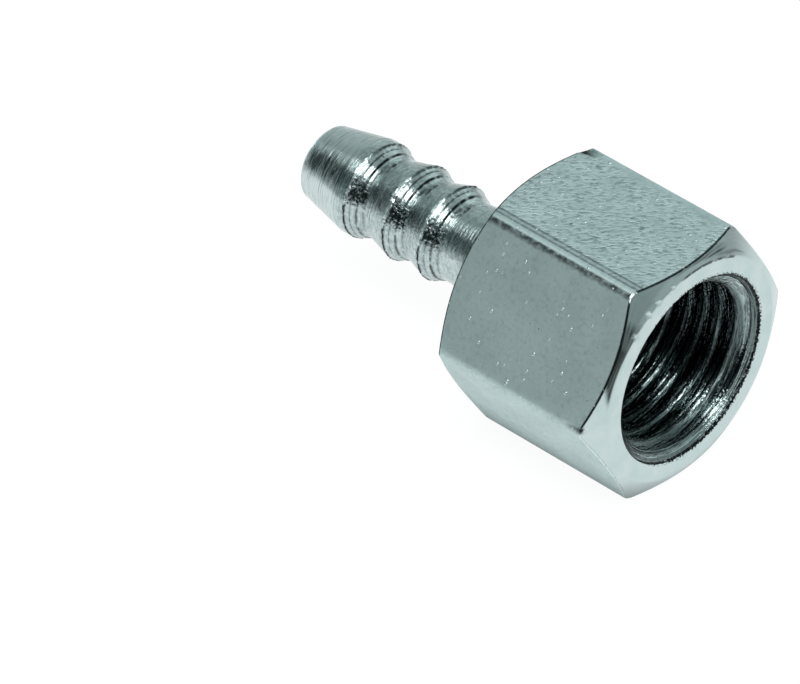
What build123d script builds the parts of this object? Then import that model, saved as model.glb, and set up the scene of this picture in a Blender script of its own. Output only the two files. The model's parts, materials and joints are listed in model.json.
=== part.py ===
from build123d import *
import os
from math import cos, pi, radians, tan

# Hose barb tail with a threaded port, turned in one piece from hexagon bar.
# The axis is X. The port opens towards +X, and its front face is at x = 0.
# The tail points towards -X, and two flats of the hexagon face up and down.
# Sizes are in millimetres and angles in degrees. Diameters end in _dia.

# Hexagon that the spanner grips
across_flats = 17.0
bar_corner_radius = 0.9
hexagon_length = 14.0
end_ring_dia = 16.0
end_chamfer_angle = 30.0

# Port, for a 1/4 inch pipe thread: its wall is left at the thread's inner diameter
thread_bore_dia = 11.44
countersink_dia = 13.54
countersink_angle = 90.0
port_depth = 11.0
drill_point_angle = 118.0

# Passage through the tail
passage_dia = 4.0
passage_chamfer = 0.2

# Stem that the tail stands on
tail_length = 18.0
stem_dia = 6.3
stem_fillet = 2.0

# Barbs for a hose of 6 mm bore, and how far behind the hexagon each sharp edge stands
barb_edge_dia = 6.9
barb_root_dia = 5.7
inner_barb_edge = 6.7
middle_barb_edge = 9.8
nose_barb_edge = 13.3

# Shoulder between a barb's edge and its root, on the hexagon's side of the edge:
# a narrow bevel, a wide ring, a small step and a narrow ring
bevel_width = 0.12
bevel_drop = 0.14
wide_ring_width = 0.63
wide_ring_drop = 0.22
step_width = 0.10
step_drop = 0.12
narrow_ring_width = 0.45

# Nose, which enters the hose first
nose_land = 0.85
nose_dia = 5.36
nose_chamfer = 0.2

overall_length = hexagon_length + tail_length


def front_outline():
    """Front ring, both turned cones of the hexagon and its back face, as x and radius."""
    ring_radius = end_ring_dia / 2
    clear_radius = across_flats / 2 / cos(pi / 6) + 1
    cone_length = (clear_radius - ring_radius) * tan(radians(end_chamfer_angle))
    return [
        (0, countersink_dia / 2),
        (0, ring_radius),
        (-cone_length, clear_radius),
        (cone_length - hexagon_length, clear_radius),
        (-hexagon_length, ring_radius),
        (-hexagon_length, stem_dia / 2 + stem_fillet),
    ]


def barb_outline(edge_place):
    """One barb from its root on the hexagon's side up to its sharp edge."""
    edge_x = -hexagon_length - edge_place
    edge_radius = barb_edge_dia / 2
    bevel_x = edge_x + bevel_width
    bevel_radius = edge_radius - bevel_drop
    ring_x = bevel_x + wide_ring_width
    ring_radius = bevel_radius - wide_ring_drop
    step_x = ring_x + step_width
    return [
        (step_x + narrow_ring_width, barb_root_dia / 2),
        (step_x, ring_radius - step_drop),
        (ring_x, ring_radius),
        (bevel_x, bevel_radius),
        (edge_x, edge_radius),
    ]


def tail_outline():
    """Stem, barbs and nose, from the end of the stem's fillet to the tip."""
    nose_radius = nose_dia / 2
    points = [(-hexagon_length - stem_fillet, stem_dia / 2)]
    for edge_place in (inner_barb_edge, middle_barb_edge, nose_barb_edge):
        points += barb_outline(edge_place)
    points += [
        (-hexagon_length - nose_barb_edge - nose_land, barb_edge_dia / 2),
        (-overall_length + nose_chamfer, nose_radius),
        (-overall_length, nose_radius - nose_chamfer),
    ]
    return points


def bore_outline():
    """Passage, drill point, threaded wall and countersink, from the tip to the front face."""
    passage_radius = passage_dia / 2
    thread_radius = thread_bore_dia / 2
    mouth_radius = countersink_dia / 2
    point_length = (thread_radius - passage_radius) / tan(radians(drill_point_angle / 2))
    countersink_depth = (mouth_radius - thread_radius) / tan(radians(countersink_angle / 2))
    return [
        (-overall_length, passage_radius + passage_chamfer),
        (-overall_length + passage_chamfer, passage_radius),
        (-port_depth - point_length, passage_radius),
        (-port_depth, thread_radius),
        (-countersink_depth, thread_radius),
        (0, mouth_radius),
    ]


def turned_form():
    """Everything that the lathe cuts, as one half section turned about the axis."""
    front = front_outline()
    tail = tail_outline()
    fillet_arc = TangentArc(tail[0], front[-1], tangent=(1, 0))
    half_section = Polyline(*front) + fillet_arc + Polyline(*tail, *bore_outline())
    return revolve(make_face(half_section), Axis.X, 360)


def hexagon_bar():
    """Drawn bar with rounded corners, as long as the whole part."""
    section = RegularPolygon(across_flats / 2, 6, major_radius=False)
    section = fillet(section.vertices(), bar_corner_radius)
    return extrude(Plane.YZ * section, -overall_length)


hose_barb_tail = hexagon_bar() & turned_form()

os.makedirs("parts", exist_ok=True)
export_step(hose_barb_tail, "parts/hose_barb_tail.step")
print("hose_barb_tail volume", round(hose_barb_tail.volume, 1), "mm3")
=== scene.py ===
import bpy
import json
import math
import numpy as np
from mathutils import Matrix, Vector


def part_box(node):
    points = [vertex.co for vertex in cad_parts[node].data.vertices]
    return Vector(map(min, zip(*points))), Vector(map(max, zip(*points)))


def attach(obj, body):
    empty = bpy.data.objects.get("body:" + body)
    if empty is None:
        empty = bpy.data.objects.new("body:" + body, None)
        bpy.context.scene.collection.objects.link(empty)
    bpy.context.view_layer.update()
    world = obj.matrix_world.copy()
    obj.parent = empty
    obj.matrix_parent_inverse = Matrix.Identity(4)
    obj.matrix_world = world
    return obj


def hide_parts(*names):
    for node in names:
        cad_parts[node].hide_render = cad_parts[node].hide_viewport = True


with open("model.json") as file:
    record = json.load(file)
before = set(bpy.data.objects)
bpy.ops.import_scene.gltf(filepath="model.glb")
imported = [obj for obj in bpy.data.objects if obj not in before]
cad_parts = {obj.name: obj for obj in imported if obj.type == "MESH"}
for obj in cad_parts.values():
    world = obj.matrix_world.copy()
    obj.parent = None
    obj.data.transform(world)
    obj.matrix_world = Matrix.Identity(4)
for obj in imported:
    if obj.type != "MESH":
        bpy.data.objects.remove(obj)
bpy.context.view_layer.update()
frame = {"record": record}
print("frame loaded")

mm = 0.001
nodeName = "hose_barb_tail"
boxLow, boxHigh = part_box(nodeName)
mounts = {mount["name"]: mount["dims"] for mount in frame["record"]["mounts"]}

# the surface is worked out in millimetres, the materials and the studio are in metres; angles
# round the axis run from +Y towards +Z, written in degrees and worked with in radians

# surface kinds, in the order of the fitting's material slots
flatKind, faceKind, tailKind, portKind = range(4)

# edges that carry marks
plainEdge, ringEdge, frontEdge, backEdge, barbEdge, tipEdge = range(6)

seeds = {"waviness": 3, "burr": 20, "chips": 31}

hexagon = {
    "flat": boxHigh.z / mm,  # from the axis to a flat
    "length": 14.0,
    "cornerRound": 0.9,
    "ringRadius": 8.0,
    "coneAngle": 30.0,  # from the face's plane
    "edgeSoft": 0.12,  # how far each edge is eased, to both sides
    "cornerColumns": 10,
    "flatColumns": 32,
    "drawnCorner": 120.0,  # the corner that carries drawn lines and a painted dark reflection
    "strokes": (0.6, 1.0, 0.12, 0.08, 0.4, 0.5),  # how strong the grain of each flat is
    "strokeStart": 0.3,  # how far from a corner the grain starts
    "strokeFade": 0.4,  # over what width it grows to its full strength
}

tail = {
    "end": boxLow.x / mm,
    "stem": 3.15,
    "fillet": 2.0,
    "filletRows": 8,
    "pastFillet": 0.1,
    "edge": 3.45,  # radius of each sharp edge
    "edgePlaces": (6.7, 9.8, 13.3),  # behind the hexagon
    # corners of a shoulder: from the edge, below it, easing, rows to the next corner
    "shoulder": ((1.30, 0.60, 0.38, 1), (0.85, 0.48, 0.03, 1), (0.75, 0.36, 0.03, 2),
                 (0.12, 0.14, 0.025, 1), (0, 0, 0.02, 6)),
    "grooves": ((0.60, 0.035), (0.36, 0.050)),  # from the edge, and how deep
    "grooveHalf": 0.06,
    # painted dark rings of shade and dark reflections on each barb: from the edge, width, how
    # dark, and between which angles
    "lines": ((0.03, 0.045, 1.0, 160, 268), (0.05, 0.06, 0.9, 40, 100),
              (0.36, 0.05, 0.8, 60, 132), (0.36, 0.05, 0.40, 150, 268),
              (0.80, 0.07, 0.9, 60, 132), (0.80, 0.07, 0.58, 132, 268),
              (1.11, 0.10, 0.6, 96, 132), (1.30, 0.12, 0.35, 132, 268),
              (1.42, 0.13, 0.9, 80, 106)),
    "lineSoft": 20,  # over how many degrees a ring fades
    "shine": (-0.01, 0.06, 104, 164),  # painted highlight along each sharp edge: place, width and angles
    "shineSoft": 10,
    "chatter": (138, 161, 1.40),  # painted dark reflection on each shoulder: between which angles and how far from the edge
    "chatterSoft": (16, 0.05, 0.3),  # its fading in degrees, at the edge and at the far end
    "land": 0.85,
    "tip": 2.68,
    "tipChamfer": 0.2,
    "shade": (128, 150, 163),  # painted dark reflection on one side of the nose: from angle, to angle at tip and at edge
    "shadeSoft": (6, 0.1),  # its fading in degrees, and at the nose's own edge
    "tipShine": (0.08, 0.09, 88, 150),  # painted highlight beside the chamfer, like "shine"
    "tipShineSoft": 10,
    "tipShineTone": 0.8,
    "burr": 0.02,
    "burrWidth": 0.06,
    "burrWaves": (8, 60),  # how many waves go round the axis
    "waviness": 0.0008,
    "wavinessWaves": (2, 40),
    "wavinessDrift": 4.0,
}

port = {
    "mouth": 6.77,
    "wall": mounts["threaded_port"]["r_mm"],
    "depth": 11.0,
    "drillAngle": 59.0,  # from the axis
    "drillGap": 0.2,  # the turns stay this far from the drill point
    "passage": mounts["tail_passage"]["r_mm"],
    "pitch": 1.337,
    "root": 6.58,  # radius at the bottom of a turn
    "flank": 27.5,  # half of the angle between two flanks
    "worn": 0.02,  # how far the crests and roots are rounded
    "runOut": (-9.9, -8.4),  # where the turns fade into the plain wall
    "ragged": 0.014,  # how high the torn mouth stands
    "raggedReach": 0.12,
    "raggedSide": (-125, 125),  # between which angles the mouth is torn
    "raggedSoft": 40,
    "raggedWaves": (12, 75),
    "chipShare": 0.5,  # how far a tear reaches along the axis, as a share of its height
}

# small marks on the metal: x, angle, spread, depth
nicks = [
    (-0.95, 179.0, 0.21, 0.16),
    (-13.2, 61.5, 0.30, 0.14),
    (-13.1, 64.0, 0.16, 0.10),
    (-20.7, 172.0, 0.10, -0.10),
    (-23.8, 172.5, 0.11, -0.11),
    (-27.3, 171.0, 0.10, -0.09),
    (-0.9, 2.0, 0.16, -0.05),
    (-13.1, 180.5, 0.22, -0.05),
]

# painted shade and painted highlights along edges, between two angles: edge, from, to, how dark,
# how bright
edgeMarks = [
    (frontEdge, 61.5, 118, 1.0, 0.0),
    (frontEdge, 122.5, 178, 1.0, 0.0),
    (frontEdge, 118.4, 121.8, 0.0, 1.0),
    (frontEdge, 181, 239, 0.0, 0.45),
    (ringEdge, 60, 97, 0.6, 0.0),
    (backEdge, 60, 182, 0.8, 0.0),
    (barbEdge, 168, 380, 1.0, 0.0),
    (tipEdge, 85, 200, 0.0, 1.0),
]
edgeMarkSoft = 2

frontCone = {
    # painted dark reflections on the cone, streaked along the turning: from and to (angles), inner
    # radius and outer radius at each end, how dark in full and in streaks
    "smears": (
        (52, 72, 8.12, 8.22, 8.45, 8.45, 0.0, 1.0),
        (68, 99, 8.15, 8.35, 9.00, 9.00, 0.3, 0.9),
        (100, 130, 8.60, 8.20, 9.90, 9.90, 0.25, 0.0),
        (129, 148, 8.02, 8.02, 9.90, 9.90, 0.72, 1.0),
        (138, 159, 8.02, 8.05, 9.90, 8.70, 1.0, 1.0),
        (153, 168, 8.05, 8.06, 8.95, 8.25, 1.0, 1.0),
    ),
    "smearSoft": (6, 0.10, 0.25),  # their fading in degrees, at the inner and at the outer radius
    # painted highlight spots beside the front ring: angle and spread
    "sparkles": ((103.4, 0.11), (114.0, 0.12), (121.0, 0.15), (133.0, 0.15)),
    "sparkleGap": 0.05,  # from the ring
}


def hexagonRadius(angles):
    # a flat at distance f seen at angle d from its middle is f / cos(d); past the tangent
    # point it is the far crossing with the corner's circle: c cos(e) + sqrt(q^2 - c^2 sin(e)^2)
    flat, q = hexagon["flat"], hexagon["cornerRound"]
    third = math.pi / 3
    fromCorner = (angles + third / 2) % third - third / 2
    fromFlat = third / 2 - np.abs(fromCorner)
    c = (flat - q) / math.cos(third / 2)
    inside = np.clip(q ** 2 - (c * np.sin(fromCorner)) ** 2, 0, None)
    onCorner = c * np.cos(fromCorner) + np.sqrt(inside)
    tangent = math.atan2(q * math.sin(third / 2), c + q * math.cos(third / 2))
    return np.where(np.abs(fromCorner) < tangent, onCorner, flat / np.cos(fromFlat))


def columnAngles():
    # even steps round each corner's arc, then even steps along each flat, six times over
    flat, q = hexagon["flat"], hexagon["cornerRound"]
    c = (flat - q) / math.cos(math.pi / 6)
    turn = np.radians(np.linspace(-30, 30, hexagon["cornerColumns"] + 1))
    corner = np.arctan2(q * np.sin(turn), c + q * np.cos(turn))
    along = np.linspace(corner[-1], math.pi / 3 + corner[0], hexagon["flatColumns"] + 1)
    sixth = np.concatenate([corner[:-1], along[:-1]])
    return (sixth[None, :] + np.arange(6)[:, None] * math.pi / 3).ravel()


def barbCorners(place):
    # one barb from its root up to its sharp edge: the shoulder's corners, and each groove as
    # three more, the outer two on the line between corners and the middle one below it
    shoulder = list(tail["shoulder"])
    away, drop = np.array(shoulder[::-1])[:, :2].T
    for middle, depth in tail["grooves"]:
        for side in (-1, 0, 1):
            at = middle + side * tail["grooveHalf"]
            shoulder.append((at, np.interp(at, away, drop) + depth * (side == 0), 0, 1))
    shoulder.sort(key=lambda corner: -corner[0])
    edgeX = -hexagon["length"] - place
    return [(edgeX + at, tail["edge"] - fall, 0, 0, soft, steps, tailKind,
             barbEdge if at == 0 else plainEdge) for at, fall, soft, steps in shoulder]


def outlineCorners():
    # the half section as corners: x, radius, how x and radius follow the hexagon,
    # easing, rows to the next corner, surface kind and edge
    flat, q = hexagon["flat"], hexagon["cornerRound"]
    far = (flat - q) / math.cos(math.pi / 6) + q
    lean = math.tan(math.radians(hexagon["coneAngle"]))
    cone = (far - hexagon["ringRadius"]) * lean
    back = -hexagon["length"]
    soft = hexagon["edgeSoft"]
    corners = [
        (0, port["mouth"], 0, 0, 0.05, 5, faceKind, plainEdge),
        (0, hexagon["ringRadius"], 0, 0, soft, 7, faceKind, ringEdge),
        (-cone, far, -lean, 1, soft, 10, flatKind, frontEdge),
        (back + cone, far, lean, 1, soft, 4, faceKind, backEdge),
        (back, hexagon["ringRadius"], 0, 0, soft, 4, faceKind, plainEdge),
    ]
    stem, fillet = tail["stem"], tail["fillet"]
    for turn in np.radians(np.linspace(0, 90, tail["filletRows"] + 1)):
        filletX = back - fillet * (1 - math.cos(turn))
        filletR = stem + fillet * (1 - math.sin(turn))
        corners.append((filletX, filletR, 0, 0, 0, 1, tailKind, plainEdge))
    corners.append((back - fillet - tail["pastFillet"], stem, 0, 0, 0, 8, tailKind, plainEdge))
    for place in tail["edgePlaces"]:
        corners += barbCorners(place)
    endX, chamfer = tail["end"], tail["tipChamfer"]
    landX = back - tail["edgePlaces"][-1] - tail["land"]
    drillLean = math.tan(math.radians(port["drillAngle"]))
    drillX = -port["depth"] - (port["wall"] - port["passage"]) / drillLean
    corners += [
        (landX, tail["edge"], 0, 0, 0.05, 14, tailKind, plainEdge),
        (endX + chamfer, tail["tip"], 0, 0, 0.05, 1, tailKind, tipEdge),
        (endX, tail["tip"] - chamfer, 0, 0, 0.04, 1, tailKind, tipEdge),
        (endX, port["passage"] + chamfer, 0, 0, 0.04, 1, tailKind, plainEdge),
        (endX + chamfer, port["passage"], 0, 0, 0.04, 4, tailKind, plainEdge),
        (drillX, port["passage"], 0, 0, 0.08, 6, portKind, plainEdge),
        (-port["depth"], port["wall"], 0, 0, 0.10, 125, portKind, plainEdge),
        (port["wall"] - port["mouth"], port["wall"], 0, 0, 0, 16, portKind, plainEdge),
    ]
    return np.array(corners, float)


def rowsOf(corners):
    # each corner becomes a short parabola (1-u)^2 a + 2u(1-u) p + u^2 b between points
    # eased away from it, and straight runs are then cut into even steps
    place, soft = corners[:, :2], corners[:, 4]
    before = np.roll(place, 1, 0) - place
    after = np.roll(place, -1, 0) - place
    before /= np.linalg.norm(before, axis=1)[:, None]
    after /= np.linalg.norm(after, axis=1)[:, None]
    keys, steps, kinds, edges = [], [], [], []
    easePoints = 5
    for i, corner in enumerate(corners):
        u = np.linspace(0, 1, easePoints)[:, None] if soft[i] else np.array([[0.5]])
        a, b = place[i] + before[i] * soft[i], place[i] + after[i] * soft[i]
        arc = (1 - u) ** 2 * a + 2 * u * (1 - u) * place[i] + u ** 2 * b
        follow = np.repeat(corner[None, 2:4], len(u), 0)
        eased = np.sin(u * math.pi) * (soft[i] > 0)
        keys.append(np.hstack([arc, follow, eased]))
        steps += [1] * (len(u) - 1) + [int(corner[5])]
        half = len(u) // 2
        kinds += [corners[i - 1, 6]] * half + [corner[6]] * (len(u) - half)
        edges += [corner[7]] * len(u)
    keys = np.vstack(keys)
    at = np.concatenate([k + np.arange(n) / n for k, n in enumerate(steps)])
    closed = np.vstack([keys, keys[:1]])
    rows = np.stack([np.interp(at, np.arange(len(closed)), c) for c in closed.T], 1)
    pick = at.astype(int)
    return rows, np.array(kinds)[pick].astype(int), np.array(edges)[pick].astype(int)


def between(angles, start, end, soft):
    # 1 between two angles and 0 outside them, fading over soft degrees
    middle = (start + end) / 2
    away = np.abs((np.degrees(angles) - middle + 180) % 360 - 180)
    return np.clip(((end - start) / 2 - away) / soft + 0.5, 0, 1)


def ragged(angles, waves, seed, along=0.0, drift=1.0):
    # sum of cosines with whole wave numbers, random phases and a drift along the axis,
    # so that it closes round the axis
    rng = np.random.default_rng(seed)
    count = np.arange(*waves)
    phase = rng.uniform(0, 2 * math.pi, len(count))
    slide = rng.normal(0, drift, len(count))
    size = rng.uniform(0.4, 1, len(count))
    turn = np.asarray(angles)[..., None] * count + phase
    wave = np.cos(turn + np.asarray(along)[..., None] * slide)
    return wave @ size / math.sqrt((size ** 2).sum())


def threadRadius(x, angles):
    # flanks fall in a straight line from the root, r = middle + (p/4 - d) / tan(flank),
    # and a smooth clamp rounds root and crest; d is the distance from the turn's middle
    pitch, wall, root = port["pitch"], port["wall"], port["root"]
    turn = (x / pitch - angles / (2 * math.pi)) % 1
    d = np.abs(turn - 0.5) * pitch
    straight = (wall + root) / 2 + (pitch / 4 - d) / math.tan(math.radians(port["flank"]))
    h = (straight - wall) / (root - wall)
    worn = port["worn"]
    clamped = 0.5 * (np.sqrt(h ** 2 + worn) - np.sqrt((h - 1) ** 2 + worn) + 1)
    start, end = port["runOut"]
    fade = np.clip((x - start) / (end - start), 0, 1)
    return wall + (root - wall) * clamped * fade ** 2 * (3 - 2 * fade)


def bell(away, width):
    # exp(-(away / width)^2): 1 on a line and fading to both sides of it
    return np.exp(-(away / width) ** 2)


def addMark(marks, name, values):
    # where two marks of one name meet, the stronger one counts
    marks[name] = np.maximum(marks[name], values)


def markEdges(marks, rows, edges, angles):
    # painted shade and highlights on the edges; an eased edge is marked as sqrt(sin(pi u)),
    # strongest in the middle of its parabola
    for edge, start, end, howDark, howBright in edgeMarks:
        here = rows[:, 4:5] ** 0.5 * (edges == edge)[:, None]
        here = here * between(angles, start, end, edgeMarkSoft)
        addMark(marks, "darkEdge", here * howDark)
        addMark(marks, "brightEdge", here * howBright)


def markCone(marks, x, r, angles, kinds):
    # a painted dark reflection lies between two radii that change evenly with the angle, and a
    # painted highlight spot is a bell round one point beside the ring
    onCone = (kinds == faceKind)[:, None] & (x > -0.5 * hexagon["length"])
    turned = np.degrees(angles)
    soft, innerFade, outerFade = frontCone["smearSoft"]
    for start, end, lowStart, lowEnd, highStart, highEnd, full, drag in frontCone["smears"]:
        low = np.interp(turned, (start, end), (lowStart, lowEnd))
        high = np.interp(turned, (start, end), (highStart, highEnd))
        onBand = np.clip((r - low) / innerFade, 0, 1) * np.clip((high - r) / outerFade, 0, 1)
        onBand = onBand * onCone * between(angles, start, end, soft)
        addMark(marks, "smear", onBand * full)
        addMark(marks, "streaks", onBand * drag)
    for turn, size in frontCone["sparkles"]:
        outward = r - hexagon["ringRadius"] - frontCone["sparkleGap"]
        gap = np.hypot((angles - math.radians(turn)) * r, outward)
        addMark(marks, "brightEdge", bell(gap, size) * onCone)


def dressTail(marks, x, r, angles, kinds):
    # waviness over the whole tail and a bell-shaped burr at each sharp edge are added to the
    # radius; painted dark rings, highlights and dark patches are marked by their distance from
    # those edges
    onTail = (kinds == tailKind)[:, None] & (r > port["passage"] + 2 * tail["tipChamfer"])
    waves = ragged(angles, tail["wavinessWaves"], seeds["waviness"], x, tail["wavinessDrift"])
    r = r + onTail * tail["waviness"] * waves
    for k, place in enumerate(tail["edgePlaces"]):
        past = x + hexagon["length"] + place
        for away, width, howDark, start, end in tail["lines"]:
            line = bell(past - away, width) * onTail
            line = line * between(angles, start, end, tail["lineSoft"])
            addMark(marks, "darkEdge", line * howDark)
        away, width, start, end = tail["shine"]
        shine = bell(past - away, width) * onTail
        addMark(marks, "brightEdge", shine * between(angles, start, end, tail["shineSoft"]))
        # the painted dark patch on each shoulder, fading in from the edge and out at its far end
        start, end, reach = tail["chatter"]
        soft, nearFade, farFade = tail["chatterSoft"]
        torn = np.clip(past / nearFade, 0, 1) * np.clip((reach - past) / farFade, 0, 1) * onTail
        addMark(marks, "chatter", torn * between(angles, start, end, soft))
        burr = ragged(angles, tail["burrWaves"], seeds["burr"] + k)
        r = r + bell(past, tail["burrWidth"]) * onTail * tail["burr"] * burr
    # a painted dark reflection on one side of the nose, and a painted highlight beside the tip
    start, endTip, endLand = tail["shade"]
    soft, nearFade = tail["shadeSoft"]
    edgeX = -hexagon["length"] - tail["edgePlaces"][-1]
    end = np.interp(x, (tail["end"], edgeX), (endTip, endLand))
    onNose = np.clip((edgeX - x) / nearFade, 0, 1) * onTail
    addMark(marks, "smear", onNose * between(angles, start, end, soft))
    away, width, start, end = tail["tipShine"]
    nearTip = bell(x - tail["end"] - tail["tipChamfer"] - away, width) * onTail
    nearTip = nearTip * between(angles, start, end, tail["tipShineSoft"])
    addMark(marks, "brightEdge", nearTip * tail["tipShineTone"])
    return r


def tearMouth(marks, x, r, angles):
    # near the mouth's edge the radius gains a ragged wave, and x loses a share of its size
    nearMouth = bell(np.hypot(x, r - port["mouth"]), port["raggedReach"])
    nearMouth = nearMouth * between(angles, *port["raggedSide"], port["raggedSoft"])
    chips = ragged(angles, port["raggedWaves"], seeds["chips"])
    marks["mouthEdge"] = nearMouth
    size = nearMouth * port["ragged"]
    return x - size * port["chipShare"] * np.abs(chips), r + size * chips


def pressNicks(marks, x, r, angles, kinds):
    # y and z times 1 - depth exp(-gap^2 / size^2) / radius, with gap measured from the
    # outer surface's nearest point
    y, z = r * np.cos(angles), r * np.sin(angles)
    outer = (kinds != portKind)[:, None]
    for nickX, turn, size, depth in nicks:
        away = np.hypot(x - nickX, (angles - math.radians(turn)) * r)
        away = np.where(outer, away - r * 0.05, np.inf)  # of two walls, the outer one
        i, j = np.unravel_index(np.argmin(away), x.shape)
        gap2 = (x - x[i, j]) ** 2 + (y - y[i, j]) ** 2 + (z - z[i, j]) ** 2
        dent = np.exp(-gap2 / size ** 2)
        push = 1 - depth * dent / np.hypot(y, z)
        y, z = y * push, z * push
        addMark(marks, "darkEdge", dent * (depth > 0))
    return y, z


def fittingSurface():
    # section rows carried round the axis: x + kx (h - far), r + kr (h - far) with h the
    # hexagon's radius at that angle, and in the port the thread's radius where it is larger
    angles = columnAngles()
    rows, kinds, edges = rowsOf(outlineCorners())
    swing = hexagonRadius(angles) - hexagonRadius(np.zeros(1))
    x = rows[:, :1] + rows[:, 2:3] * swing
    r = rows[:, 1:2] + rows[:, 3:4] * swing
    onPort = (kinds == portKind)[:, None] & (x > port["drillGap"] - port["depth"])
    r = np.where(onPort, np.maximum(r, threadRadius(x, angles)), r)

    names = ("darkEdge", "brightEdge", "smear", "streaks", "chatter")
    marks = {name: np.zeros_like(x) for name in names}
    markEdges(marks, rows, edges, angles)
    markCone(marks, x, r, angles, kinds)
    r = dressTail(marks, x, r, angles, kinds)
    x, r = tearMouth(marks, x, r, angles)
    y, z = pressNicks(marks, x, r, angles, kinds)

    path = np.concatenate([[0], np.cumsum(np.hypot(*np.diff(rows[:, :2], axis=0).T))])
    third = math.pi / 3
    offCorner = np.abs((angles + third / 2) % third - third / 2) * hexagon["flat"]
    strokes = np.array(hexagon["strokes"])[(angles // third).astype(int) % 6]
    offCorner = (offCorner - hexagon["strokeStart"]) / hexagon["strokeFade"]
    ones = np.ones_like(x)
    marks["lathe"] = np.stack([
        ones * path[:, None], ones * np.cos(angles), ones * np.sin(angles)], -1)
    marks["fromCorner"] = ones * (angles - math.radians(hexagon["drawnCorner"])) * r
    marks["strokes"] = ones * (strokes * np.clip(offCorner, 0, 1))
    return x, y, z, kinds, marks


def meshFromGrid(name, x, y, z, kinds):
    # a grid closed both ways: rows follow the section and columns go round the axis
    rows, columns = x.shape
    mesh = bpy.data.meshes.new(name)
    points = np.stack([x, y, z], -1).reshape(-1, 3) * mm
    i, j = np.meshgrid(np.arange(rows), np.arange(columns), indexing="ij")
    iNext, jNext = (i + 1) % rows, (j + 1) % columns
    quads = np.stack([i * columns + j, i * columns + jNext,
                      iNext * columns + jNext, iNext * columns + j], -1).reshape(-1, 4)
    mesh.vertices.add(len(points))
    mesh.vertices.foreach_set("co", points.astype(np.float32).ravel())
    mesh.loops.add(quads.size)
    mesh.loops.foreach_set("vertex_index", quads.ravel().astype(np.int32))
    mesh.polygons.add(len(quads))
    mesh.polygons.foreach_set("loop_start", np.arange(0, quads.size, 4, dtype=np.int32))
    mesh.polygons.foreach_set("material_index", np.repeat(kinds, columns).astype(np.int32))
    mesh.polygons.foreach_set("use_smooth", np.ones(len(quads), bool))
    mesh.update(calc_edges=True)
    mesh.validate()
    piece = bpy.data.objects.new(name, mesh)
    bpy.context.scene.collection.objects.link(piece)
    return piece


def makeFitting():
    x, y, z, kinds, marks = fittingSurface()
    piece = meshFromGrid("turned_fitting", x, y, z, kinds)
    for name, values in marks.items():
        isVector = values.ndim == 3
        made = piece.data.attributes.new(name, "FLOAT_VECTOR" if isVector else "FLOAT", "POINT")
        field = "vector" if isVector else "value"
        made.data.foreach_set(field, values.astype(np.float32).ravel())
    weighted = piece.modifiers.new("weighted normals", "WEIGHTED_NORMAL")
    weighted.weight = 90
    for build in (flatMetal, faceMetal, tailMetal, portMetal):
        piece.data.materials.append(build())
    print("fitting:", len(kinds), "rows,", 2 * x.size, "triangles")
    return piece


def addNode(tree, kind, inputs=None, **settings):
    # an input is either a socket to link from or a plain value
    made = tree.nodes.new(kind)
    for key, value in settings.items():
        setattr(made, key, value)
    for key, value in (inputs or {}).items():
        if isinstance(value, bpy.types.NodeSocket):
            tree.links.new(value, made.inputs[key])
        else:
            made.inputs[key].default_value = value
    return made


def newGroup(name, inputs, outputs):
    # an empty shader group with named sockets; a value's type says what kind of socket it is
    kinds = {float: "NodeSocketFloat", tuple: "NodeSocketColor"}
    group = bpy.data.node_groups.new(name, "ShaderNodeTree")
    for label, value in inputs.items():
        socket = group.interface.new_socket(label, in_out="INPUT", socket_type=kinds[type(value)])
        socket.default_value = value
    for label, kind in outputs.items():
        group.interface.new_socket(label, in_out="OUTPUT", socket_type=kinds[kind])
    given, out = group.nodes.new("NodeGroupInput"), group.nodes.new("NodeGroupOutput")
    return group, given.outputs, out.inputs


def math2(tree, operation, a, b=0.0):
    return addNode(tree, "ShaderNodeMath", {0: a, 1: b}, operation=operation).outputs[0]


def times(tree, a, b):
    return math2(tree, "MULTIPLY", a, b)


def plus(tree, a, b):
    return math2(tree, "ADD", a, b)


def larger(tree, a, b):
    return math2(tree, "MAXIMUM", a, b)


def remap(tree, value, low, high, toLow=0.0, toHigh=1.0, smooth=False):
    kind = "SMOOTHSTEP" if smooth else "LINEAR"
    inputs = {"Value": value, "From Min": low, "From Max": high, "To Min": toLow, "To Max": toHigh}
    return addNode(tree, "ShaderNodeMapRange", inputs, interpolation_type=kind).outputs[0]


def fade(tree, mask, atNone, atFull):
    # a value that goes from one level to the other as the mask goes from 0 to 1
    return remap(tree, mask, 0.0, 1.0, atNone, atFull)


def blendColor(tree, share, a, b):
    return addNode(tree, "ShaderNodeMix", {"Factor": share, 6: a, 7: b},
                   data_type="RGBA").outputs[2]


def mark(tree, name):
    # the strength of one of the surface's own marks
    return addNode(tree, "ShaderNodeAttribute", attribute_name=name).outputs["Fac"]


def objectPlace(tree):
    return addNode(tree, "ShaderNodeTexCoord").outputs["Object"]


def stretchedNoise(tree, place, along, across, settings):
    # noise whose grains are 1 / along by 1 / across of the place's own unit
    scale = addNode(tree, "ShaderNodeCombineXYZ", {"X": along, "Y": across, "Z": across})
    stretched = addNode(tree, "ShaderNodeVectorMath", {
        0: place, 1: scale.outputs[0]}, operation="MULTIPLY")
    return addNode(tree, "ShaderNodeTexNoise", {
        "Vector": stretched.outputs[0], "Scale": 1.0, **settings}).outputs["Fac"]


def cloudGroup():
    # soft changes of the plating's tone from place to place
    group, given, out = newGroup("platingCloud", {
        "Scale": 900.0, "Detail": 4.0, "Low": 0.35, "High": 0.65,
        "Dark": (0.4, 0.5, 0.5, 1), "Light": (0.6, 0.7, 0.7, 1)}, {"Color": tuple, "Mask": float})
    noise = addNode(group, "ShaderNodeTexNoise", {
        "Vector": objectPlace(group), "Scale": given["Scale"], "Detail": given["Detail"]})
    mask = remap(group, noise.outputs["Fac"], given["Low"], given["High"])
    group.links.new(blendColor(group, mask, given["Dark"], given["Light"]), out["Color"])
    group.links.new(mask, out["Mask"])
    return group


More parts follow.
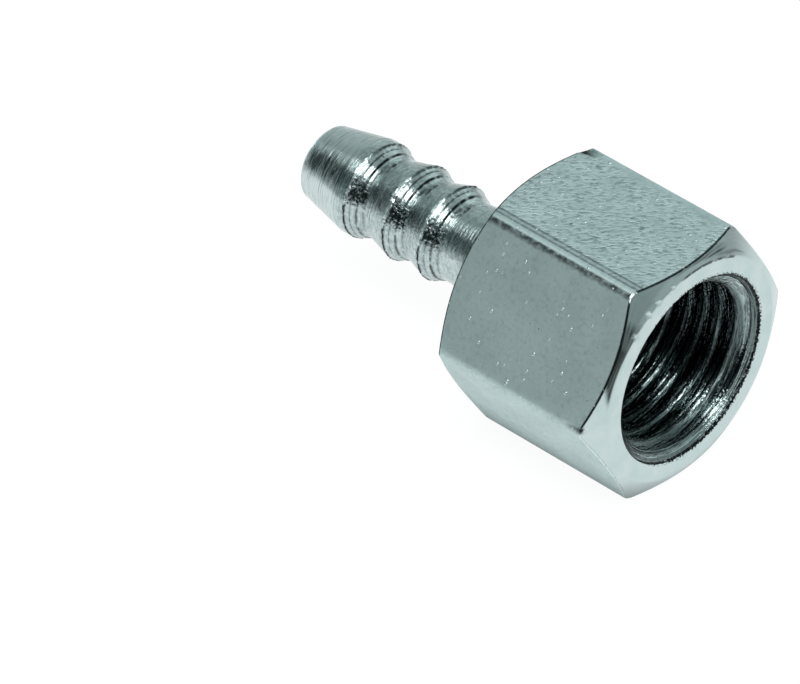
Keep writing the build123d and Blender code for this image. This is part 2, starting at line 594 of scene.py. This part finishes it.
def grainGroup():
    # short brushed strokes, long one way across the flats and fine the other way
    group, given, out = newGroup("brushedGrain", {
        "Along": 900.0, "Across": 9000.0, "Low": 0.3, "High": 0.7}, {"Height": float})
    strokeAngle = math.radians(-43)  # from the axis, in the plane of the upper flat
    turned = addNode(group, "ShaderNodeVectorRotate", {
        "Vector": objectPlace(group), "Angle": strokeAngle}, rotation_type="Z_AXIS")
    noise = stretchedNoise(group, turned.outputs[0], given["Along"], given["Across"], {
        "Detail": 3.0, "Roughness": 0.6, "Distortion": 0.2})
    group.links.new(remap(group, noise, given["Low"], given["High"]), out["Height"])
    return group


def latheGroup():
    # turning marks: fine across the path of the tool and long round the axis
    group, given, out = newGroup("turningMarks", {
        "Density": 8.0, "Around": 2.0, "Low": 0.3, "High": 0.7}, {"Height": float})
    place = addNode(group, "ShaderNodeAttribute", attribute_name="lathe").outputs["Vector"]
    noise = stretchedNoise(group, place, given["Density"], given["Around"], {
        "Detail": 2.5, "Roughness": 0.6})
    group.links.new(remap(group, noise, given["Low"], given["High"]), out["Height"])
    return group


def specksGroup():
    # scattered round spots: one in each cell of a share of the cells, and no two of one size
    look = {"smallest": 0.5, "core": 0.4}
    group, given, out = newGroup("platingSpecks", {
        "Scale": 2200.0, "Share": 0.1, "Size": 0.14}, {"Mask": float})
    cells = addNode(group, "ShaderNodeTexVoronoi", {
        "Vector": objectPlace(group), "Scale": given["Scale"]})
    tone = addNode(group, "ShaderNodeSeparateColor", {0: cells.outputs["Color"]})
    chosen = math2(group, "LESS_THAN", tone.outputs[0], given["Share"])
    size = times(group, given["Size"], fade(group, tone.outputs[1], look["smallest"], 1.0))
    core = times(group, size, look["core"])
    dot = remap(group, cells.outputs["Distance"], size, core, smooth=True)
    group.links.new(times(group, chosen, dot), out["Mask"])
    return group


def edgeGroup():
    # painted shade lines and painted highlight dashes along the edges, both broken by noise
    look = {"gain": 1.5, "breaks": -0.8}
    group, given, out = newGroup("edgeLine", {
        "Scale": 2500.0, "Low": 0.35, "High": 0.6}, {"Dark": float, "Bright": float})
    noise = addNode(group, "ShaderNodeTexNoise", {
        "Vector": objectPlace(group), "Scale": given["Scale"], "Detail": 3.0})
    breaks = remap(group, noise.outputs["Fac"], given["Low"], given["High"], look["breaks"], 0.0)
    for label in ("Dark", "Bright"):
        # each painted mark's strength, broken up by the noise
        worn = plus(group, times(group, mark(group, label.lower() + "Edge"), look["gain"]), breaks)
        group.links.new(remap(group, worn, 0.0, 1.0), out[label])
    return group


groups = {}


def useGroup(tree, name, inputs):
    # each group is made once, when it is first asked for
    builders = {"cloud": cloudGroup, "grain": grainGroup, "lathe": latheGroup,
                "specks": specksGroup, "edge": edgeGroup}
    if name not in groups:
        groups[name] = builders[name]()
    return addNode(tree, "ShaderNodeGroup", inputs, node_tree=groups[name]).outputs


def startMaterial(name):
    made = bpy.data.materials.new(name)
    made.use_nodes = True
    made.node_tree.nodes.clear()
    return made, made.node_tree


def finishMetal(tree, color, roughness, height, depth):
    # a height of 1 stands depth metres above the surface
    bump = addNode(tree, "ShaderNodeBump", {"Height": height, "Distance": depth, "Strength": 1.0})
    shader = addNode(tree, "ShaderNodeBsdfPrincipled", {
        "Base Color": color, "Metallic": 1.0, "Roughness": roughness, "Normal": bump.outputs[0]})
    addNode(tree, "ShaderNodeOutputMaterial", {"Surface": shader.outputs[0]})


plating = {
    "light": (0.62, 0.71, 0.71, 1),
    "satin": (0.61, 0.74, 0.74, 1),
    "middle": (0.55, 0.67, 0.67, 1),
    "dull": (0.40, 0.50, 0.50, 1),
    "dark": (0.25, 0.33, 0.33, 1),
    # painted shade inside the bore
    "oily": (0.12, 0.16, 0.16, 1),
    "black": (0.034, 0.046, 0.047, 1),
    # nearly black: painted shade along the tail's edges and on the cone, and the torn mouth
    "soot": (0.010, 0.013, 0.013, 1),
    "white": (0.80, 0.95, 0.95, 1),
}


def drawnLinesAndShade(tree):
    # drawn lines along one corner of the bar, and a painted dark reflection on its round: how
    # dark the metal is at each distance from the corner
    look = {"reach": 1.2, "wanderScale": 2400.0, "wanderFrom": (0.1, 0.4), "wander": (0.06, 0.35),
            "blotch": 0.6, "stops": (
                (-0.97, 0), (-0.86, 0.75), (-0.74, 0.15), (-0.64, 0.15), (-0.52, 0.7), (-0.42, 0),
                (-0.16, 0), (-0.02, 0.95), (0.12, 0.95), (0.24, 0.75), (0.42, 0))}
    far = mark(tree, "fromCorner")
    noise = addNode(tree, "ShaderNodeTexNoise", {
        "Vector": objectPlace(tree), "Scale": look["wanderScale"], "Detail": 3.0}).outputs["Fac"]
    reach = remap(tree, far, *look["wanderFrom"], *look["wander"])
    shift = times(tree, math2(tree, "SUBTRACT", noise, 0.5), reach)
    share = remap(tree, plus(tree, far, shift), -look["reach"], look["reach"])
    ramp = addNode(tree, "ShaderNodeValToRGB", {0: share})
    for k, (where, dark) in enumerate(look["stops"]):
        spot = 0.5 + 0.5 * where / look["reach"]
        stop = ramp.color_ramp.elements[k] if k < 2 else ramp.color_ramp.elements.new(spot)
        stop.position = spot
        stop.color = (dark, dark, dark, 1)
    blotch = useGroup(tree, "cloud", {"Scale": 2600.0, "Low": 0.3, "High": 0.55})
    return times(tree, ramp.outputs[0], fade(tree, blotch["Mask"], look["blotch"], 1.0))


def flatMetal():
    # the drawn flats: satin, with short strokes, a few bright grains and small pits; drawn
    # lines and a painted dark reflection along one corner, painted shade and highlights at edges
    look = {"roughness": 0.56, "burnished": 0.25, "strokeDepth": 0.000030, "strokeTone": 0.9,
            "strokeReach": 0.62, "calmStrokes": 0.45, "mottleTone": 0.25, "pitTone": 0.7,
            "speckTone": 0.6, "grainTone": 0.22, "mottleHeight": 0.15, "speckHeight": 1.4}
    made, tree = startMaterial("platedFlats")
    cloud = useGroup(tree, "cloud", {
        "Scale": 420.0, "Light": plating["satin"], "Dark": plating["middle"]})
    mottle = useGroup(tree, "cloud", {"Scale": 3200.0, "Low": 0.3, "High": 0.5})
    patch = useGroup(tree, "cloud", {"Scale": 800.0, "Detail": 2.0, "Low": 0.35, "High": 0.6})
    grain = useGroup(tree, "grain", {"Along": 2000.0, "Across": 5200.0, "Low": 0.36, "High": 0.60})
    specks = useGroup(tree, "specks", {"Scale": 1600.0, "Share": 0.50, "Size": 0.24})
    grains = useGroup(tree, "specks", {"Scale": 3000.0, "Share": 0.35, "Size": 0.40})
    pits = useGroup(tree, "specks", {"Scale": 1500.0, "Share": 0.25, "Size": 0.14})
    edge = useGroup(tree, "edge", {"Low": 0.2, "High": 0.45})
    calm = fade(tree, patch["Mask"], look["calmStrokes"], 1.0)
    drawn = times(tree, mark(tree, "strokes"), calm)
    strokes = remap(tree, grain["Height"], 0.0, look["strokeReach"], 1.0, 0.0)
    strokes = times(tree, times(tree, strokes, drawn), look["strokeTone"])
    mottled = fade(tree, mottle["Mask"], look["mottleTone"], 0.0)
    # painted highlights along the edges, together with bright specks and grains
    shine = larger(tree, times(tree, specks["Mask"], look["speckTone"]), edge["Bright"])
    shine = larger(tree, shine, times(tree, grains["Mask"], look["grainTone"]))
    color = blendColor(tree, strokes, cloud["Color"], plating["dark"])
    color = blendColor(tree, mottled, color, plating["dark"])
    color = blendColor(tree, times(tree, pits["Mask"], look["pitTone"]), color, plating["black"])
    color = blendColor(tree, drawnLinesAndShade(tree), color, plating["black"])
    # painted shade along the edges
    color = blendColor(tree, edge["Dark"], color, plating["black"])
    color = blendColor(tree, shine, color, plating["white"])
    height = times(tree, grain["Height"], drawn)
    height = plus(tree, height, times(tree, mottle["Mask"], look["mottleHeight"]))
    height = plus(tree, height, times(tree, specks["Mask"], look["speckHeight"]))
    height = math2(tree, "SUBTRACT", height, pits["Mask"])
    rough = fade(tree, shine, look["roughness"], look["burnished"])
    finishMetal(tree, color, rough, height, look["strokeDepth"])
    return made


def faceMetal():
    # the turned faces: smooth, with faint rings, painted dark reflections, painted shade and
    # highlights along the edges, and a torn mouth
    look = {"roughness": 0.27, "burnished": 0.40, "ringDepth": 0.000003, "speckHeight": 4.0,
            "edgeHeight": 26.0, "tornShare": 0.8, "torn": (0.95, 1.15), "thinSmear": 0.80}
    made, tree = startMaterial("platedFaces")
    cloud = useGroup(tree, "cloud", {
        "Scale": 700.0, "Light": plating["light"], "Dark": plating["middle"]})
    torn = useGroup(tree, "cloud", {"Scale": 6500.0, "Low": 0.38, "High": 0.62})
    rings = useGroup(tree, "lathe", {"Density": 9.0, "Around": 3.0})
    drag = useGroup(tree, "lathe", {"Density": 5.0, "Around": 2.5, "Low": 0.40, "High": 0.58})
    specks = useGroup(tree, "specks", {"Scale": 1800.0, "Share": 0.06, "Size": 0.12})
    edge = useGroup(tree, "edge", {"Low": 0.3, "High": 0.5})
    tears = times(tree, plus(tree, mark(tree, "mouthEdge"), torn["Mask"]), look["tornShare"])
    tears = remap(tree, tears, *look["torn"])
    # painted dark reflections on the cone, in full and streaked along the turning
    streaks = times(tree, mark(tree, "streaks"), drag["Height"])
    full = times(tree, mark(tree, "smear"), fade(tree, drag["Height"], look["thinSmear"], 1.0))
    streaks = larger(tree, streaks, full)
    color = blendColor(tree, streaks, cloud["Color"], plating["soot"])
    # painted shade and painted highlights along the edges
    color = blendColor(tree, edge["Dark"], color, plating["black"])
    color = blendColor(tree, edge["Bright"], color, plating["white"])
    color = blendColor(tree, tears, color, plating["soot"])
    height = plus(tree, rings["Height"], times(tree, specks["Mask"], look["speckHeight"]))
    height = plus(tree, height, times(tree, edge["Bright"], look["edgeHeight"]))
    rough = fade(tree, edge["Bright"], look["roughness"], look["burnished"])
    finishMetal(tree, color, rough, height, look["ringDepth"])
    return made


def tailMetal():
    # the barbs and nose: plating over turning marks, finer on the nose, with painted dark
    # reflections and patches, and painted shade and highlights along the edges
    look = {"roughness": 0.20, "noseRoughness": 0.14, "burnished": 0.30, "ringDepth": 0.000022,
            "noseEdge": (-0.0285, -0.0277),  # where the nose's finish ends, along X
            "dragTone": 0.35, "drag": (0.2, 0.6), "ringTone": 0.7, "ring": (0.25, 0.42),
            "calmRings": 0.35, "barbRings": 0.65, "shade": (0.3, 0.7, 0.95, 0.45),
            "chatterGain": 1.2, "chatterBreaks": -1.38, "chatterReach": 0.4,
            "grainHeight": 0.35, "edgeHeight": 2.2, "chatterHeight": 1.3}
    made, tree = startMaterial("platedTail")
    cloud = useGroup(tree, "cloud", {
        "Scale": 3600.0, "Low": 0.3, "High": 0.6,
        "Light": plating["light"], "Dark": plating["dull"]})
    patch = useGroup(tree, "cloud", {"Scale": 900.0, "Detail": 2.0, "Low": 0.35, "High": 0.6})
    torn = useGroup(tree, "cloud", {"Scale": 5500.0, "Low": 0.35, "High": 0.65})
    rings = useGroup(tree, "lathe", {"Density": 8.5, "Around": 1.0})
    tears = useGroup(tree, "lathe", {"Density": 9.0, "Around": 5.0})
    pits = useGroup(tree, "specks", {"Scale": 2300.0, "Share": 0.50, "Size": 0.20})
    edge = useGroup(tree, "edge", {"Low": 0.3, "High": 0.5})
    along = addNode(tree, "ShaderNodeSeparateXYZ", {0: objectPlace(tree)}).outputs["X"]
    offNose = remap(tree, along, *look["noseEdge"])
    turned = fade(tree, offNose, 1.0, look["barbRings"])
    drag = times(tree, remap(tree, tears["Height"], *look["drag"], 1.0, 0.0), offNose)
    lines = remap(tree, rings["Height"], *look["ring"], look["ringTone"], 0.0)
    lines = times(tree, lines, fade(tree, patch["Mask"], look["calmRings"], 1.0))
    # the nose's painted dark reflection, broken by the turning rings
    shade = times(tree, mark(tree, "smear"), remap(tree, rings["Height"], *look["shade"]))
    # painted dark patches on the shoulders, broken into flecks by noise, with a bump
    chatter = mark(tree, "chatter")
    patches = plus(tree, times(tree, chatter, look["chatterGain"]),
                   fade(tree, torn["Mask"], look["chatterBreaks"], 0.0))
    patches = remap(tree, patches, 0.0, look["chatterReach"])
    color = blendColor(tree, offNose, plating["light"], cloud["Color"])
    color = blendColor(tree, shade, color, plating["dark"])
    color = blendColor(tree, times(tree, drag, look["dragTone"]), color, plating["dark"])
    color = blendColor(tree, times(tree, lines, turned), color, plating["dark"])
    color = blendColor(tree, times(tree, pits["Mask"], offNose), color, plating["black"])
    color = blendColor(tree, patches, color, plating["black"])
    # painted shade and painted highlights along the edges
    color = blendColor(tree, edge["Dark"], color, plating["soot"])
    color = blendColor(tree, edge["Bright"], color, plating["white"])
    height = times(tree, tears["Height"], look["grainHeight"])
    height = plus(tree, height, times(tree, cloud["Mask"], look["grainHeight"]))
    height = times(tree, height, offNose)
    height = plus(tree, height, times(tree, rings["Height"], turned))
    height = plus(tree, height, times(tree, edge["Bright"], look["edgeHeight"]))
    pulled = times(tree, times(tree, chatter, torn["Mask"]), look["chatterHeight"])
    height = math2(tree, "SUBTRACT", height, pulled)
    plain = fade(tree, offNose, look["noseRoughness"], look["roughness"])
    rough = fade(tree, edge["Bright"], plain, look["burnished"])
    finishMetal(tree, color, rough, height, look["ringDepth"])
    return made


def portMetal():
    # the threads: metal with long torn lines, painted dark as the bore's shade, with painted
    # light on the lower wall and painted pale reflections near the mouth
    look = {"roughness": 0.15, "lineDepth": 0.000025, "streakShare": 0.8, "grainShare": 0.6,
            "lines": (0.75, 1.05), "mouthReach": 0.1, "mouthDepth": (-0.0005, 0.0),
            "tornShare": 0.8, "torn": (0.9, 1.2),
            # painted reflections: pale bands inside the mouth, along X, and how they change
            # towards the low side
            "low": (-0.0015, -0.0045), "inner": (-0.0010, -0.0008),
            "innerEnd": (-0.00055, -0.00040, 1.0, 0.1), "innerLow": 0.3,
            "outer": (-0.0005, -0.0004), "outerLow": 0.8, "mouthLines": 0.5,
            # painted light: the lit stretch of the lower wall, between heights and on one side
            "litTop": (-0.0032, -0.0048), "litBottom": (-0.0056, -0.0060, 1.0, 0.1),
            "litSide": (0.0, 0.0015)}
    made, tree = startMaterial("cutThread")
    cloud = useGroup(tree, "cloud", {
        "Scale": 3500.0, "Detail": 2.0, "Light": plating["white"], "Dark": plating["dull"]})
    torn = useGroup(tree, "cloud", {"Scale": 5200.0, "Low": 0.3, "High": 0.7})
    rings = useGroup(tree, "lathe", {"Density": 6.0, "Around": 0.6})
    streaks = useGroup(tree, "lathe", {"Density": 13.0, "Around": 5.0})
    place = addNode(tree, "ShaderNodeSeparateXYZ", {0: objectPlace(tree)}).outputs
    cut = plus(tree, rings["Height"], times(tree, streaks["Height"], look["streakShare"]))
    lines = remap(tree, cut, *look["lines"])
    mouth = times(tree, remap(tree, mark(tree, "mouthEdge"), 0.0, look["mouthReach"]),
                  remap(tree, place["X"], *look["mouthDepth"]))
    tears = plus(tree, mouth, times(tree, torn["Mask"], look["tornShare"]))
    tears = remap(tree, tears, *look["torn"])
    low = remap(tree, place["Z"], *look["low"])
    inner = times(tree, remap(tree, place["X"], *look["inner"]),
                  remap(tree, place["X"], *look["innerEnd"]))
    inner = times(tree, inner, fade(tree, low, 1.0, look["innerLow"]))
    outer = times(tree, remap(tree, place["X"], *look["outer"]),
                  times(tree, low, look["outerLow"]))
    nearMouth = larger(tree, inner, outer)
    lines = larger(tree, lines, times(tree, nearMouth, look["mouthLines"]))
    lit = times(tree, remap(tree, place["Z"], *look["litTop"], smooth=True),
                remap(tree, place["Z"], *look["litBottom"]))
    lit = times(tree, lit, remap(tree, place["Y"], *look["litSide"]))
    # painted shade over the bore, paler on the painted lit stretch
    base = blendColor(tree, lit, plating["oily"], cloud["Color"])
    base = blendColor(tree, nearMouth, base, plating["middle"])
    color = blendColor(tree, lines, plating["black"], base)
    color = blendColor(tree, tears, color, plating["soot"])
    height = plus(tree, cut, times(tree, cloud["Mask"], look["grainShare"]))
    finishMetal(tree, color, look["roughness"], height, look["lineDepth"])
    return made


studio = {
    "paper": 0.5,  # half of its side
    "paperGlow": 1.06,
    "paperMatt": 0.12,  # how much of the paper's own shading, and so of the shadow, is seen
    "paperTint": (0.97, 1, 1, 1),
    "paperCentre": (-0.012, -0.003, 0.0),
    "paperReach": (0.035, 0.15),  # painted falloff on the paper in reflections: where it starts to dim, and where it ends
    "paperLevels": (0.95, 0.25),  # how bright it is at those two
    "shadowMiddle": -0.009,  # painted shadow of the hexagon on the paper, seen in reflections
    "shadowAlong": (0.0075, 0.0100),
    "shadowAcross": (0.0046, 0.0078),
    "shadowTone": 0.3,
    "wallSide": (-0.25, 0.60),  # along Y the room goes from its dim side to its pale wall
    "horizonRise": (0.10, 0.45),  # how far up and down the bright horizon fades
    "horizonSide": (-0.5, 0.3, 1.0, 0.4),  # along X it goes from full strength to weaker
    "bright": (0.85, 0.95, 0.95, 1),
    "dark": (0.012, 0.017, 0.017, 1),
    "dim": (0.16, 0.20, 0.20, 1),
    "horizon": (0.50, 0.58, 0.58, 1),
    "pale": (0.42, 0.49, 0.49, 1),
    # cards and gaps round the fitting, each over those before it: the direction of its middle,
    # the cosines at which it starts and is full, and its tone
    "cards": (
        ((-0.50, -0.25, 0.83), (0.90, 0.985), "pale"),  # the lamp's light on the wall
        ((-0.82, -0.38, 0.42), (0.92, 0.98), "dark"),  # a gap between that and the pale wall
        ((-0.42, -0.32, 0.85), (0.955, 0.99), "bright"),  # the brightest part of that light
        ((-0.82, -0.52, 0.22), (0.935, 0.985), "dark"),  # a lower gap
        ((-0.12, 0.90, 0.45), (0.90, 0.97), "bright"),  # a pale card beyond the fitting
        ((0.35, -0.90, 0.25), (0.68, 0.90), "dark"),  # a black card on the camera's side
    ),
    "lampStart": (-0.11, -0.148, 0.372),  # middle of one end of the long soft box
    "lampEnd": (0.29, -0.07, 0.375),
    "lampWidth": 0.17,
    "lampGlow": 5.0,
}


def whitePaper():
    # white to the camera with a faint shadow; to reflections it is painted: white near the
    # fitting, dimming away from it, with a painted shadow under the hexagon
    made, tree = startMaterial("whitePaper")
    glow = addNode(tree, "ShaderNodeEmission", {"Strength": studio["paperGlow"]})
    matt = addNode(tree, "ShaderNodeBsdfDiffuse", {"Color": (1, 1, 1, 1)})
    shown = addNode(tree, "ShaderNodeMixShader", {
        0: studio["paperMatt"], 1: glow.outputs[0], 2: matt.outputs[0]})
    place = objectPlace(tree)
    away = addNode(tree, "ShaderNodeVectorMath", {
        0: place, 1: studio["paperCentre"]}, operation="DISTANCE").outputs["Value"]
    dim = remap(tree, away, *studio["paperReach"], *studio["paperLevels"], smooth=True)
    split = addNode(tree, "ShaderNodeSeparateXYZ", {0: place}).outputs
    alongX = math2(tree, "SUBTRACT", split["X"], studio["shadowMiddle"])
    alongX = math2(tree, "ABSOLUTE", alongX)
    alongX = remap(tree, alongX, *studio["shadowAlong"], 1.0, 0.0, smooth=True)
    acrossY = math2(tree, "ABSOLUTE", split["Y"])
    acrossY = remap(tree, acrossY, *studio["shadowAcross"], 1.0, 0.0, smooth=True)
    shade = fade(tree, times(tree, alongX, acrossY), 1.0, studio["shadowTone"])
    seen = addNode(tree, "ShaderNodeEmission", {
        "Color": studio["paperTint"], "Strength": times(tree, dim, shade)})
    path = addNode(tree, "ShaderNodeLightPath")
    final = addNode(tree, "ShaderNodeMixShader", {
        0: path.outputs["Is Glossy Ray"], 1: shown.outputs[0], 2: seen.outputs[0]})
    addNode(tree, "ShaderNodeOutputMaterial", {"Surface": final.outputs[0]})
    return made


def makePaper():
    mesh = bpy.data.meshes.new("paper")
    s = studio["paper"]
    mesh.from_pydata([(-s, -s, 0), (s, -s, 0), (s, s, 0), (-s, s, 0)], [], [(0, 1, 2, 3)])
    mesh.materials.append(whitePaper())
    paper = bpy.data.objects.new("paper", mesh)
    paper.location.z = boxLow.z
    bpy.context.scene.collection.objects.link(paper)


def makeRoom():
    # what the metal mirrors: white to the camera itself
    world = bpy.data.worlds.new("studioRoom")
    bpy.context.scene.world = world
    world.use_nodes = True
    tree = world.node_tree
    tree.nodes.clear()
    toward = addNode(tree, "ShaderNodeTexCoord").outputs["Generated"]
    split = addNode(tree, "ShaderNodeSeparateXYZ", {0: toward}).outputs
    side = remap(tree, split["Y"], *studio["wallSide"], smooth=True)
    room = blendColor(tree, side, studio["dim"], studio["pale"])
    level = math2(tree, "ABSOLUTE", split["Z"])
    level = remap(tree, level, *studio["horizonRise"], 1.0, 0.0, smooth=True)
    leftward = remap(tree, split["X"], *studio["horizonSide"], smooth=True)
    room = blendColor(tree, times(tree, level, leftward), room, studio["horizon"])
    for middle, reach, tone in studio["cards"]:
        near = addNode(tree, "ShaderNodeVectorMath", {
            0: toward, 1: Vector(middle).normalized()}, operation="DOT_PRODUCT").outputs["Value"]
        room = blendColor(tree, remap(tree, near, *reach, smooth=True), room, studio[tone])
    path = addNode(tree, "ShaderNodeLightPath")
    seen = blendColor(tree, path.outputs["Is Camera Ray"], room, (1, 1, 1, 1))
    back = addNode(tree, "ShaderNodeBackground", {"Color": seen, "Strength": 1.0})
    addNode(tree, "ShaderNodeOutputWorld", {"Surface": back.outputs[0]})


def makeLamp():
    # a long soft box: its own X runs from one end to the other, and it faces the fitting
    start, end = Vector(studio["lampStart"]), Vector(studio["lampEnd"])
    light = bpy.data.lights.new("softBox", "AREA")
    light.shape = "RECTANGLE"
    light.size, light.size_y = (end - start).length, studio["lampWidth"]
    light.energy = studio["lampGlow"] * math.pi * light.size * light.size_y
    lamp = bpy.data.objects.new("softBox", light)
    lamp.location = (start + end) / 2
    along = (end - start).normalized()
    away = (lamp.location - Vector((-hexagon["length"] * mm, 0, 0))).normalized()
    away = (away - along * away.dot(along)).normalized()
    lamp.rotation_mode = "QUATERNION"
    turned = Matrix((along, away.cross(along), away)).transposed()
    lamp.rotation_quaternion = turned.to_quaternion()
    bpy.context.scene.collection.objects.link(lamp)


camera = {
    "azimuth": 42.742,
    "elevation": 39.172,
    "target": (-0.01471, -0.01154, 0.00106),  # what stands in the middle of the picture
    "distance": 0.52595,
    "lens": 369.3,
    "clip": (0.01, 10),
}


def makeCamera():
    a, e = math.radians(camera["azimuth"]), math.radians(camera["elevation"])
    back = Vector((math.sin(a) * math.cos(e), -math.cos(a) * math.cos(e), math.sin(e)))
    data = bpy.data.cameras.new("camera")
    data.lens = camera["lens"]
    data.clip_start, data.clip_end = camera["clip"]
    view = bpy.data.objects.new("camera", data)
    view.location = Vector(camera["target"]) + back * camera["distance"]
    view.rotation_mode = "QUATERNION"
    view.rotation_quaternion = (-back).to_track_quat("-Z", "Y")
    bpy.context.scene.collection.objects.link(view)
    bpy.context.scene.camera = view
    print("camera ready")


bpy.context.scene.view_settings.view_transform = "Standard"
makeCamera()
makePaper()
makeRoom()
makeLamp()
print("studio ready")
fitting = makeFitting()
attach(fitting, "root")
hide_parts(nodeName)
